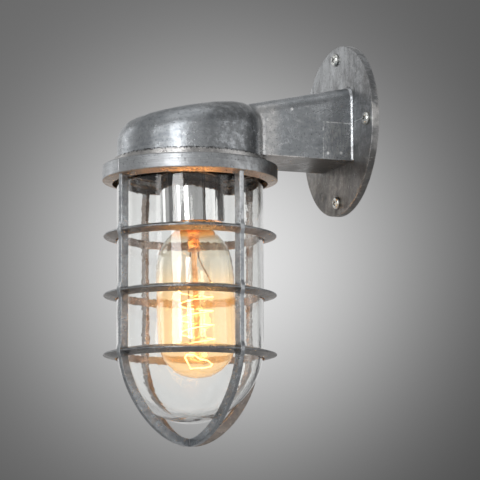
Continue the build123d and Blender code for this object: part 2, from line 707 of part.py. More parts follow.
def bulb_side(inset):
    """The bulb's straight neck, its swell and its round end, drawn in by the glass's thickness."""
    swell = [(0.567, 0.053), (0.815, 0.129), (0.964, 0.240), (0.996, 0.412)]
    run = [(NECK_GLASS_R, CAP_FOOT)] + [(BULB_R * r, CAP_FOOT - BULB_H * drop) for r, drop in swell]
    middle = BULB_FOOT + BULB_R
    points = [(r - inset, 0, z) for r, z in run + [(BULB_R, middle)]]
    neck = Line((NECK_GLASS_R - inset, 0, CAP_FOOT + NECK_SOCKET), points[0])
    side = Spline(points, tangents=[(0, 0, -1), (0, 0, -1)])
    slant = (BULB_R - inset) * sqrt(0.5)
    bowl = ThreePointArc(points[-1], (slant, 0, middle - slant), (0, 0, BULB_FOOT + inset))
    return [neck, side, bowl]


def bulb_glass():
    outer = bulb_side(0)
    inner = bulb_side(BULB_T)
    rim = Line(outer[0] @ 0, inner[0] @ 0)
    tip = Line(outer[-1] @ 1, inner[-1] @ 1)
    return hung(lathe_edges(outer + [tip] + inner + [rim]))


def bulb_cap():
    inside = CAP_R - CAP_T
    cone = CAP_TOP - CAP_CONE
    outline = [(CAP_R, CAP_FOOT), (CAP_R, cone), (CAP_EYE + CAP_LAND, CAP_TOP), (CAP_EYE, CAP_TOP)]
    outline += [(CAP_EYE, CAP_TOP - CAP_T), (inside, cone - CAP_T), (inside, CAP_FOOT)]
    return hung(lathe(outline))


def cap_insulator():
    outline = [(0, CONTACT_FOOT), (CONTACT_R, CONTACT_FOOT), (CAP_EYE, CAP_TOP), (CAP_EYE, CAP_TOP - CAP_T)]
    return hung(lathe(outline + [(0, CAP_TOP - CAP_T)]))


def cap_contact():
    outline = [(0, CONTACT_TOP), (0.7 * CONTACT_R, CONTACT_TOP), (CONTACT_R, CONTACT_TOP - CONTACT_T / 2)]
    return hung(lathe(outline + [(CONTACT_R, CONTACT_FOOT), (0, CONTACT_FOOT)]))


def bulb_stem():
    """The glass stem: a flared tube in the neck, its pinched press, and a rod with a button at its end."""
    flare_r = NECK_GLASS_R - BULB_T - WIRE_GAP
    shoulder_r = (flare_r + TUBE_R) / 2 + TUBE_T / 2
    tube_in = TUBE_R - TUBE_T
    rise = CAP_FOOT + FLARE_RISE
    shoulder = rise - TUBE_WAIST / 2
    waist = CAP_FOOT - TUBE_WAIST
    foot = PRESS_FOOT + PRESS_H - ROD_SINK
    tube = [(0, foot), (tube_in, foot), (TUBE_R, waist), (shoulder_r, shoulder), (flare_r, rise)]
    tube += [(flare_r - FLARE_RIM, rise), (shoulder_r - TUBE_T, shoulder), (tube_in, waist)]
    tube += [(0, waist - TUBE_T)]
    press = Pos(0, 0, PRESS_FOOT) * Box(PRESS_T, PRESS_W, PRESS_H, align=FLOOR)
    press = fillet(press.edges().filter_by(Axis.Z), PRESS_ROUND)
    rod = ring(ROD_R, 0, ROD_FOOT, PRESS_FOOT + ROD_SINK)
    button = Pos(0, 0, ROD_FOOT) * Sphere(BUTTON_R)
    return hung(lathe(tube) + press + rod + button)


def lead_wires():
    """A short lead to the spiral's top and a long one down inside the spiral to its foot."""
    start = PRESS_FOOT - SEAT_GAP
    top = SPIRAL_TOP + FILAMENT_R + WIRE_GAP
    low = SPIRAL_FOOT - FILAMENT_R - LEAD_R - WIRE_GAP
    short = [(0, LEAD_SIDE, start), (0, LEAD_SIDE, start - LEAD_KNEE), (0, SPIRAL_R, top)]
    long = [(0, -LEAD_SIDE, start), (0, -LEAD_SIDE, start - LEAD_KNEE), (0, -LEAD_LANE, SPIRAL_TOP)]
    long += [(0, -LEAD_LANE, low - LEAD_KNEE / 2), (0, -SPIRAL_R, low)]
    return hung(routed_wire(short, LEAD_R) + routed_wire(long, LEAD_R))


def support_wires():
    """Straight hooks that hold the spiral off the rod, each where a turn passes it."""
    group = Part()
    for number in range(HOOK_COUNT):
        turn = HOOK_FIRST + HOOK_STEP * number
        hook = Line((ROD_R + SEAT_GAP, 0, 0), (SPIRAL_R - FILAMENT_R - SEAT_GAP, 0, 0))
        spot = Pos(0, 0, SPIRAL_FOOT + SPIRAL_PITCH * turn) * Rot(0, 0, SPIRAL_FACE + 360 * turn)
        group += spot * round_wire(hook, HOOK_R)
    return hung(group)


def filament():
    wire = coil_wire(SPIRAL_R, SPIRAL_PITCH, SPIRAL_TURNS, FILAMENT_R, "filament")
    return hung(Pos(0, 0, SPIRAL_FOOT) * Rot(0, 0, SPIRAL_FACE) * wire)


def glass_jar():
    inner_r = JAR_R - JAR_T
    bend = JAR_FOOT + JAR_BOWL
    floor = JAR_FOOT + JAR_FLOOR_T
    outer = [(inner_r, JAR_TOP), (JAR_FLANGE_R, JAR_TOP), (JAR_FLANGE_R, FLANGE_FOOT)]
    outer += [(JAR_R + JAR_ROOT / 2, FLANGE_FOOT), (JAR_R, FLANGE_FOOT - JAR_ROOT), (JAR_R, bend)]
    side = Polyline([(r, 0, z) for r, z in outer])
    bowl = bezier((JAR_R, bend), (JAR_R, bend - 0.54 * JAR_BOWL), (0.52 * JAR_R, JAR_FOOT), (0, JAR_FOOT))
    centre = Line((0, 0, JAR_FOOT), (0, 0, floor))
    hollow = bezier((0, floor), (0.53 * inner_r, floor), (inner_r, bend - 0.51 * JAR_BOWL), (inner_r, bend))
    bore = Line((inner_r, 0, bend), (inner_r, 0, JAR_TOP))
    return on_lamp(lathe_edges(side.edges() + [bowl, centre, hollow, bore]))


def glass_gasket():
    return on_lamp(ring(JAR_FLANGE_R, JAR_FLANGE_R - GASKET_W, THREAD_FOOT - GASKET_T, THREAD_FOOT))


def cushion_gasket():
    return on_lamp(ring(JAR_FLANGE_R, JAR_FLANGE_R - CUSHION_W, FLANGE_FOOT - CUSHION_T, FLANGE_FOOT))


def hoop(z):
    """One wedge-section hoop of the cage."""
    half = HOOP_H / 2
    inner = JAR_R + HOOP_GAP
    outer = RING_R - HOOP_INSET
    upper = [(inner, z + half), (outer - HOOP_TIP, z + HOOP_NOSE / 2), (outer, z + HOOP_TIP / 2)]
    lower = [(outer, z - HOOP_TIP / 2), (outer - HOOP_TIP, z - HOOP_NOSE / 2), (inner, z - half)]
    return lathe(upper + lower)


def bar_pair():
    """Two opposite bars that run down and meet under the jar, one strap in the XZ plane."""
    top = RING_FOOT + LIP_T / 2
    bend = CAGE_FOOT + BAR_BOWL
    deep = bend - 0.47 * BAR_BOWL
    deep_in = bend - 0.42 * BAR_BOWL
    strap = Part()
    for side in (1, -1):
        out_r = side * BAR_R
        in_r = side * (BAR_R - BAR_T)
        outer = bezier((out_r, bend), (out_r, deep), (0.48 * out_r, CAGE_FOOT), (0, CAGE_FOOT))
        inner = bezier((0, CAGE_INNER_FOOT), (0.425 * in_r, CAGE_INNER_FOOT), (in_r, deep_in), (in_r, bend))
        run = [Line((out_r, 0, top), (out_r, 0, bend)), outer]
        run += [Line((0, 0, CAGE_FOOT), (0, 0, CAGE_INNER_FOOT)), inner]
        run += [Line((in_r, 0, bend), (in_r, 0, top)), Line((in_r, 0, top), (out_r, 0, top))]
        strap += extrude(make_face(run), BAR_W / 2, both=True)
    return strap


def knuckle(z):
    """The swelling of one bar over the hoop at this height, in the XZ plane."""
    half = KNUCKLE_H / 2
    core = BAR_R - BAR_T / 2
    outer = RING_R - HOOP_INSET + KNUCKLE_PROUD
    points = [(core, z - half), (BAR_R, z - half), (outer, z - HOOP_NOSE), (outer, z + HOOP_NOSE)]
    points += [(BAR_R, z + half), (core, z + half)]
    outline = Polyline([(r, 0, h) for r, h in points], close=True)
    return extrude(make_face(outline), BAR_W / 2, both=True)


def cage():
    band = ring(RING_R, 0, RING_FOOT, RING_TOP)
    band = fillet(band.edges().filter_by(GeomType.CIRCLE), RING_ROUND)
    band -= ring(RING_BORE, 0, LIP_TOP, RING_TOP + PAST)
    body = band - ring(LIP_R, 0, RING_FOOT - PAST, RING_TOP + PAST)
    lip = [(LIP_R, LIP_TOP), (LIP_R, RING_FOOT - LIP_DROP), (RING_R - RING_ROUND, RING_FOOT)]
    body += lathe(lip + [(RING_R - RING_ROUND, LIP_TOP)])
    seam = Box(2 * SEAM_H, SEAM_W, RING_TOP - RING_FOOT - 2 * RING_ROUND, align=FLOOR)
    for turn in (BAR_TURN + 90, BAR_TURN - 90):
        body += Rot(0, 0, turn + SEAM_TURN) * Pos(RING_R, 0, RING_FOOT + RING_ROUND) * seam
    for turn in (BAR_TURN, BAR_TURN + 90):
        body += Rot(0, 0, turn) * bar_pair()
    first = RING_FOOT - HOOP_FIRST
    last = CAGE_FOOT + BAR_BOWL - HOOP_LAST
    for number in range(HOOP_COUNT):
        z = first + (last - first) * number / (HOOP_COUNT - 1)
        body += hoop(z)
        for quarter in range(4):
            body += Rot(0, 0, BAR_TURN + 90 * quarter) * knuckle(z)
    return on_lamp(body)


NODES = {
    "wall_plate": wall_plate(),
    "arm_housing": arm_housing(),
    "wall_screws": wall_screws(),
    "arm_screws": arm_screws(),
    "cable_grommet": cable_grommet(),
    "terminal_block": terminal_block(),
    "terminal_screws": terminal_screws(),
    "block_screws": block_screws(),
    "earth_screw": earth_screw(),
    "live_wire": feed_wire(2, 1),
    "neutral_wire": feed_wire(1, -1),
    "earth_wire": earth_wire(),
    "holder_bridge": holder_bridge(),
    "bridge_screws": bridge_screws(),
    "nipple": nipple(),
    "nipple_nuts": nipple_nuts(),
    "holder_shell": holder_shell(),
    "holder_posts": holder_posts(),
    "post_screws": post_screws(),
    "holder_insulator": holder_insulator(),
    "holder_collar": holder_collar(),
    "screw_shell": screw_shell(),
    "contact_plunger": contact_plunger(),
    "contact_spring": contact_spring(),
    "glass_gasket": glass_gasket(),
    "cushion_gasket": cushion_gasket(),
    "glass_jar": glass_jar(),
    "cage": cage(),
    "bulb_glass": bulb_glass(),
    "bulb_cap": bulb_cap(),
    "cap_insulator": cap_insulator(),
    "cap_contact": cap_contact(),
    "bulb_stem": bulb_stem(),
    "lead_wires": lead_wires(),
    "support_wires": support_wires(),
    "filament": filament(),
}

os.makedirs("parts", exist_ok=True)
for name, shape in NODES.items():
    export_step(shape, f"parts/{name}.step")
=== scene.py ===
import math

import bpy
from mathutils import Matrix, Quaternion, Vector


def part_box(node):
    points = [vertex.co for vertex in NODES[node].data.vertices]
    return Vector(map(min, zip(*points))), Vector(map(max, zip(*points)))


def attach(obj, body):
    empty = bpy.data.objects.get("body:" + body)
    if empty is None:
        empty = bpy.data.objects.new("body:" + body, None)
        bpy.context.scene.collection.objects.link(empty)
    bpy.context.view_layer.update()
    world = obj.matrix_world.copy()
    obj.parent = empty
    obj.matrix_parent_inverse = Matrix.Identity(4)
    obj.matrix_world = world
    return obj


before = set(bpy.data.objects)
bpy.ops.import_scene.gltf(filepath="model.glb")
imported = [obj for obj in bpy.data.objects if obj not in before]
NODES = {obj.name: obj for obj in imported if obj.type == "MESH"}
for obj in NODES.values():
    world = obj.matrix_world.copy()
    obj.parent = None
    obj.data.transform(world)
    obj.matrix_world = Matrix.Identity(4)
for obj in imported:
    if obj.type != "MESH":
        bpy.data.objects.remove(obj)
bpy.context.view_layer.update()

# Camera, fitted to the photograph: a square picture, the sensor's whole width across it
CAMERA_PLACE = Vector((1.5187, -0.6754, -0.3198))
CAMERA_AIM = Vector((-0.9209, 0.3620, 0.1449))
CAMERA_ROLL = math.radians(-0.17)
CAMERA_LENS = 180.0
SENSOR = 36.0
CAMERA_CLIP = (0.05, 50.0)
CAMERA_AZIMUTH = math.radians(68.54)
TO_CAMERA = Vector((math.sin(CAMERA_AZIMUTH), -math.cos(CAMERA_AZIMUTH), 0.0))
SIDEWAYS = Vector((math.cos(CAMERA_AZIMUTH), math.sin(CAMERA_AZIMUTH), 0.0))

# Places of the lantern that the finishes and lights refer to
JAR_LOW, JAR_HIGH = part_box("glass_jar")
CAGE_LOW, CAGE_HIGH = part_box("cage")
COIL_LOW, COIL_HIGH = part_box("filament")
STEM_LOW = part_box("bulb_stem")[0]
CHROME_LOW, CHROME_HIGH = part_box("holder_shell")
LEAN = math.radians(2.3)       # the lamp's tilt in the jar
ROD_SHIFT = 0.0058             # the rod's end towards the wall, by that tilt
RING_H = 0.0100
COLLAR_H = 0.0045
ARM_RISE = 0.0024              # the arm's floor above the collar
LAMP_Y = (JAR_LOW.y + JAR_HIGH.y) / 2
COIL_MIDDLE = (COIL_LOW + COIL_HIGH) / 2
STEM_FOOT = Vector((0.0, LAMP_Y + ROD_SHIFT, STEM_LOW.z))
RING_TOP_Z = CAGE_HIGH.z
RING_FOOT_Z = RING_TOP_Z - RING_H
COLLAR_TOP_Z = RING_TOP_Z + COLLAR_H
ARM_FLOOR_Z = COLLAR_TOP_Z + ARM_RISE
ARM_SIDE_X = 0.0275

# In the sections below, a pair named _R, _X, _Y or _Z says where a finish starts and where it is full, or
# for a band the two ends between which it is full. _R is a distance from the jar's axis, or from the plate's
# middle. A _TURN is in degrees to the camera's right.

# The arm's casting
CAST_GRAIN = (110.0, 110.0, 420.0)
CAST_ROUGH = (0.22, 0.38)
CAST_RELIEF = 0.0003
# The side of the hood's wall that carries painted shade, mottled
HOOD_SHADE_TURN = 45.0
HOOD_WALL_R = (0.0520, 0.0510)
HOOD_INSIDE_R = (0.0468, 0.0462)
COLLAR_R = (0.0508, 0.0514)
RAGGED_R = (0.054, 0.053)
RAGGED_Z = (COLLAR_TOP_Z - 0.0004, COLLAR_TOP_Z + 0.0010)
ARM_EDGE_X = (ARM_SIDE_X - 0.003, ARM_SIDE_X - 0.001)
ARM_FACE_X = (ARM_SIDE_X - 0.0008, ARM_SIDE_X - 0.0004)
# Where the arm's near side carries a painted highlight by the hood
END_HIGHLIGHT_Y = (-0.0735, -0.0640)
DARKER_FACE_Y = (-0.064, -0.046)
# The painted highlight along the near bottom edge of the arm
FOOT_HIGHLIGHT_Y = (-0.036, -0.050)
FOOT_HIGHLIGHT_END_Y = (-0.0700, -0.0685)
FOOT_HIGHLIGHT_Z = (ARM_FLOOR_Z, ARM_FLOOR_Z + 0.0004)
DARKER_FLOOR_Y = (-0.070, -0.038)
# The arm's underside: painted warm light away from the plate and painted shade near it
UNDERSIDE_LIGHT_AND_SHADE = (0.50, 0.42, 0.365, 1.0), (0.105, 0.090, 0.076, 1.0)

# The rubbed patch on the arm's near side with the lines along two of its edges, and painted glints as (y, z)
PATCH_Y = (-0.0275, -0.0056)
PATCH_Z = (-0.0250, 0.0006)
PATCH_SOFT = 0.0003
PATCH_LEFT_Y = (PATCH_Y[0], PATCH_Y[0] + 0.0003)
PATCH_UPPER_Z = (PATCH_Z[1] - 0.0004, PATCH_Z[1])
PATCH_LINE_END = 0.0002
GLINTS = [(-0.0239, -0.0213), (-0.0141, -0.0207), (-0.0506, 0.0077), (-0.0686, -0.0010)]
GLINT_R = 0.0014

# The guard's casting
CAGE_WEAR = 0.7
RING_R = (0.058, 0.059)
# The side of the ring that carries painted shade, mottled
RING_SHADE_TURN = 50.0
HOOP_R = (0.0480, 0.0500)
FAR_SIDE_Z = (RING_FOOT_Z - 0.002, RING_FOOT_Z - 0.006)
DARK_CAGE_Z = (-0.09, -0.155)
PALE_BAR_TURN = 41.0
PALE_BAR_Z = (-0.075, -0.045)
SHADED_BAR_TURN = 95.0
SHADED_BAR_Z = (-0.150, -0.175)
UNWORN_FOOT_Z = (CAGE_LOW.z + 0.006, CAGE_LOW.z + 0.014)
RING_LIP_Z = (RING_FOOT_Z - 0.006, RING_FOOT_Z - 0.003)
HOOP_TOP_Z = (RING_FOOT_Z - 0.004, RING_FOOT_Z - 0.010)
# Painted reflections of the bulb's warm glow, on near and on far faces
BULB_GLOW_REFLECTION = (0.12, 0.098, 0.080, 1.0), (0.26, 0.205, 0.165, 1.0)
FAR_GLOW_REFLECTION = (0.21, 0.145, 0.105, 1.0), (0.36, 0.26, 0.195, 1.0)
SHADED_BROWN = (0.11, 0.092, 0.078, 1.0), (0.22, 0.175, 0.140, 1.0)
# Painted bulb light under the ring's lip
RING_LIP_GLOW = (0.56, 0.44, 0.34, 1.0)

# The wall plate
PLATE_GRAIN = (230.0, 120.0, 70.0)
PLATE_ROUGH = (0.30, 0.46)
SMUDGE_Z = (-0.03, 0.04)
BROWN_FOOT_Z = (0.0, -0.03)
PLATE_BROWN = (0.055, 0.051, 0.046, 1.0), (0.26, 0.235, 0.205, 1.0)
DARKER_SIDE_X = (0.012, 0.030)
PLATE_RIM_R = (0.0592, 0.0598)
WORN_RIM_Z = (-0.020, 0.025)
LONG_SCRATCH_X = (0.028, 0.045)
LONG_SCRATCH_Z = (0.0014, 0.0017)

# The chrome shell: the two lines of its folded seam, as y from the lamp's leaning axis, and painted dark
# reflections as upright streaks, as degrees to the camera's right and half their width
SEAM_LINES = [(-0.0004, -0.0001), (0.0008, 0.0011)]
SEAM_SOFT = 0.0002
CHROME_DARK_REFLECTIONS = [(-37.0, 7.0), (66.0, 12.0)]

# The bulb's glass: heights at which the coil's painted glow (amber and emission) starts and is full, and the
# orange neck
COIL_GLOW_Z = (COIL_HIGH.z + 0.016, COIL_HIGH.z - 0.010)
NECK_Z = (CHROME_LOW.z - 0.005, CHROME_LOW.z + 0.010)
NECK_SOFT = 0.004

# The filament's tail below the coil, as (sideways, up) from the rod's end, and the filament's own light
TAIL = [(-0.0089, 0.0012), (-0.0049, -0.0062), (0.0062, -0.0052), (0.0086, -0.0044), (0.0092, -0.0028),
        (0.0070, -0.0008), (0.0019, 0.0004), (-0.0029, 0.0033), (-0.0076, 0.0035)]
TAIL_WIRE = 0.00042
TAIL_FORWARD = 0.0040
FILAMENT_POWER = 0.5
FILAMENT_COLOUR = (1.0, 0.46, 0.14)
FILAMENT_SIZE = 0.010

# Studio lights, aimed at the target: name, degrees to the camera's right and up, distance, size and radiance
LIGHT_TARGET = Vector((0.0, LAMP_Y + 0.010, -0.09))
SOFTBOXES = [
    ("key", -19.5, 12.0, 1.9, (0.43, 1.3), 6.5),
    ("strip", -48.0, 8.0, 1.9, (0.30, 1.2), 2.4),
    ("right_panel", 73.0, 5.0, 2.2, (2.0, 1.4), 0.75),
    ("back_left", -119.0, 12.0, 2.0, (0.63, 1.4), 1.2),
    ("overhead", -30.0, 72.0, 2.2, (1.8, 1.8), 0.5),
]

# The backdrop's bright middle, in pixels of a 480-pixel picture, and its tones
PICTURE = 480.0
BACKDROP_AT = (225.4, 264.1)
BACKDROP_SCALE = 173.2
FOCAL_PIXELS = CAMERA_LENS / SENSOR * PICTURE
BACKDROP_FALL = (FOCAL_PIXELS / BACKDROP_SCALE) ** 2
BACKDROP_BRIGHT = 0.672
BACKDROP_DARK = 0.101
BACKDROP_TILT = 0.00007 * FOCAL_PIXELS
BACKDROP_REST = 0.45
BACKDROP_END = (0.026, 0.060)
LEAST_COSINE = 0.05

# The backdrop as the glass shows it: its level, and the spread over which it falls to the rest
GLASS_TONE = 0.72
GLASS_SPREAD = (0.05, 0.60)

# The room's own light: its level at the floor and overhead, the upward parts of a direction that these belong
# to, and brighter and darker patches as (turn, rise, reach, level)
ROOM_LOW = 0.15
ROOM_HIGH = 0.42
ROOM_SPAN = (-0.5, 0.8)
ROOM_LEAST = 0.03
ROOM_PATCHES = [(18.0, 0.0, 38.0, 0.22), (-138.0, 5.0, 32.0, 0.24), (180.0, 0.0, 45.0, 0.40),
                (-90.0, 0.0, 30.0, 0.14), (128.0, 0.0, 38.0, -0.16)]

# The floor: its height, half its side, and its tones to the camera and to polished faces
FLOOR_Z = -1.0
FLOOR_HALF = 6.0
FLOOR_TONE = 0.62
FLOOR_GLOSS = 0.46
FLOOR_BLOTCH = 0.04


def grey(level, warm=0.0):
    """A near-neutral colour, a touch warm or cool."""
    return (level * (1 + warm), level, level * (1 - warm), 1.0)


def around(turn, rise=0.0):
    """The direction from the lantern that lies turn degrees to the camera's right and rise degrees up."""
    a = CAMERA_AZIMUTH + math.radians(turn)
    e = math.radians(rise)
    return Vector((math.sin(a) * math.cos(e), -math.cos(a) * math.cos(e), math.sin(e)))


class Nodes:
    """Shorthand for building one node tree."""

    def __init__(self, tree):
        self.tree = tree
        self.tree.nodes.clear()

    def add(self, kind, inputs=None, **settings):
        node = self.tree.nodes.new("ShaderNode" + kind)
        for key, value in settings.items():
            setattr(node, key, value)
        for key, value in (inputs or {}).items():
            if isinstance(value, bpy.types.NodeSocket):
                self.tree.links.new(value, node.inputs[key])
            else:
                node.inputs[key].default_value = value
        return node

    def maths(self, operation, a, b=0.0):
        return self.add("Math", {0: a, 1: b}, operation=operation).outputs[0]

    def plus(self, a, b):
        return self.maths("ADD", a, b)

    def minus(self, a, b):
        return self.maths("SUBTRACT", a, b)

    def times(self, *factors):
        product = factors[0]
        for factor in factors[1:]:
            product = self.maths("MULTIPLY", product, factor)
        return product

    def most(self, *values):
        best = values[0]
        for value in values[1:]:
            best = self.maths("MAXIMUM", best, value)
        return best

    def blend(self, share, a, b):
        return self.add("Mix", {0: share, 2: a, 3: b}, data_type="FLOAT").outputs[0]

    def remap(self, value, low, high, to_low=0.0, to_high=1.0, kind="LINEAR"):
        inputs = {"Value": value, "From Min": low, "From Max": high, "To Min": to_low, "To Max": to_high}
        return self.add("MapRange", inputs, clamp=True, interpolation_type=kind).outputs[0]

    def dot(self, a, b):
        return self.add("VectorMath", {0: a, 1: b}, operation="DOT_PRODUCT").outputs["Value"]

    def length(self, vector):
        return self.add("VectorMath", {0: vector}, operation="LENGTH").outputs["Value"]

    def seen(self, *rays):
        """1 for the named kinds of ray, such as Camera or Transmission, and 0 for the rest."""
        path = self.add("LightPath")
        return self.most(*[path.outputs[f"Is {ray} Ray"] for ray in rays])


class Shader(Nodes):
    """A node material under construction, read in the piece's own coordinates."""

    def __init__(self, name):
        self.material = bpy.data.materials.new(name)
        self.material.use_nodes = True
        super().__init__(self.material.node_tree)
        self.place = self.add("TexCoord").outputs["Object"]
        self.x, self.y, self.z = self.add("SeparateXYZ", {"Vector": self.place}).outputs
        self.normal = self.add("NewGeometry").outputs["Normal"]

    def mix(self, share, a, b):
        return self.add("Mix", {0: share, 6: a, 7: b}, data_type="RGBA").outputs[2]

    def scaled(self, scale, turn=(0.0, 0.0, 0.0)):
        return self.add("Mapping", {"Vector": self.place, "Scale": scale, "Rotation": turn}).outputs[0]

    def noise(self, where, scale, detail=4.0, rough=0.55, distortion=0.0):
        inputs = {"Vector": where, "Scale": scale, "Detail": detail}
        return self.add("TexNoise", {**inputs, "Roughness": rough, "Distortion": distortion}).outputs[0]

    def band(self, value, low, high, soft):
        """1 between low and high, falling to 0 over the soft width outside them."""
        return self.times(self.remap(value, low - soft, low), self.remap(value, high + soft, high))

    def spot(self, y, z, radius):
        """1 around a point of a face that looks along X."""
        away = self.add("CombineXYZ", {0: 0.0, 1: self.minus(self.y, y), 2: self.minus(self.z, z)}).outputs[0]
        return self.remap(self.length(away), radius, radius * 0.4)

    def outwards(self):
        """The level direction away from the jar's axis, and the distance from it."""
        away = self.add("CombineXYZ", {0: self.x, 1: self.minus(self.y, LAMP_Y), 2: 0.0}).outputs[0]
        return self.add("VectorMath", {0: away}, operation="NORMALIZE").outputs[0], self.length(away)

    def side(self, away, turn, low, high):
        """1 on the side that lies turn degrees to the camera's right, between two cosines from there."""
        return self.remap(self.dot(away, around(turn)), low, high)

    def rounded(self, radius):
        """The faces' direction with every edge softened by the radius."""
        return self.add("Bevel", {"Radius": radius}, samples=4).outputs[0]

    def edges(self, soft):
        """1 on edges, 0 on even faces, from the softened direction."""
        return self.remap(self.dot(soft, self.normal), 0.99, 0.80)

    def upward(self):
        """How far the face looks up: 1 straight up, -1 straight down."""
        return self.add("SeparateXYZ", {"Vector": self.normal}).outputs["Z"]

    def crevices(self, distance):
        """1 deep in corners, 0 on open faces."""
        open_share = self.add("AmbientOcclusion", {"Distance": distance}, samples=4).outputs["AO"]
        return self.remap(open_share, 0.75, 0.25)

    def bump(self, height, distance, base=None):
        inputs = {"Height": height, "Distance": distance}
        return self.add("Bump", {**inputs, "Normal": base} if base else inputs).outputs[0]

    def finish(self, inputs):
        """Ends in a principled shader with these inputs, and returns the material."""
        shader = self.add("BsdfPrincipled", inputs)
        output = self.add("OutputMaterial")
        self.tree.links.new(shader.outputs[0], output.inputs["Surface"])
        return self.material


class AgedMetal(Shader):
    """A dull metal with blotches, pits, grain strokes, scratches, corner grime with painted shade, rubbed
    edges.
    """

    BLOTCH_SCALE = 45.0
    CLOUD_SCALE = 210.0
    GRIT_SCALE = 900.0
    SCRATCH_SCALE = (1500.0, 110.0, 340.0)
    SCRATCH_TURNS = ((0.5, 0.4, 0.9), (1.9, 0.7, 0.2))
    TONE_SPAN = (0.34, 0.66)
    CREVICE_REACH = 0.004
    EDGE_RADIUS = 0.0009

    def __init__(self, name, dark, light, rough, wear, grain, relief=0.0004):
        super().__init__(name)
        self.blotch = self.noise(self.place, self.BLOTCH_SCALE, 3.0, 0.55, 0.6)
        self.cloud = self.noise(self.place, self.CLOUD_SCALE, 5.0, 0.66, 0.15)
        self.grit = self.noise(self.place, self.GRIT_SCALE, 2.0, 0.55)
        strokes = self.noise(self.scaled(grain), 1.0, 2.0, 0.5, 0.3)
        scratches = [self.noise(self.scaled(self.SCRATCH_SCALE, turn), 1.0, 2.0, 0.5, 0.4)
                     for turn in self.SCRATCH_TURNS]
        self.scratch = self.remap(self.most(*scratches), 0.665, 0.72)
        tone = self.plus(self.times(self.blotch, 0.55), self.times(self.cloud, 0.45))
        tone = self.plus(tone, self.times(self.minus(strokes, 0.5), 0.3))
        self.share = self.remap(tone, *self.TONE_SPAN)
        self.pits = self.remap(self.grit, 0.60, 0.70)
        self.colour = self.mix(self.share, dark, light)
        self.rough = self.remap(tone, *self.TONE_SPAN, rough[1], rough[0])
        self.wear = wear
        self.relief = relief
        height = self.plus(self.times(self.cloud, 0.6), self.times(strokes, 0.25))
        self.height = self.minus(height, self.times(self.most(self.pits, self.scratch), 0.12))

    def tint(self, share, colour):
        self.colour = self.mix(share, self.colour, colour)

    def patchy(self, low, high, least, most):
        """A share that wanders from least to most as the clouds of the metal go from low to high."""
        return self.remap(self.cloud, low, high, least, most)

    def dulled(self):
        """Ends the finish, after pits, grime with painted shade in corners, and rubbed edges have gone over
        the colour.
        """
        self.tint(self.times(self.pits, 0.6), grey(0.10))
        # Corners darkened by occlusion: grime, and painted shade
        self.tint(self.times(self.crevices(self.CREVICE_REACH), 0.75), grey(0.045, 0.05))
        soft = self.rounded(self.EDGE_RADIUS)
        rubbed = self.times(self.edges(soft), self.patchy(0.40, 0.58, 0.25, 1.0))
        rubbed = self.times(self.most(rubbed, self.times(self.scratch, 0.35)), self.wear)
        self.tint(rubbed, grey(0.80))
        return self.finish({"Base Color": self.colour, "Metallic": 1.0,
                            "Normal": self.bump(self.height, self.relief, soft),
                            "Roughness": self.plus(self.rough, self.times(self.pits, 0.10))})


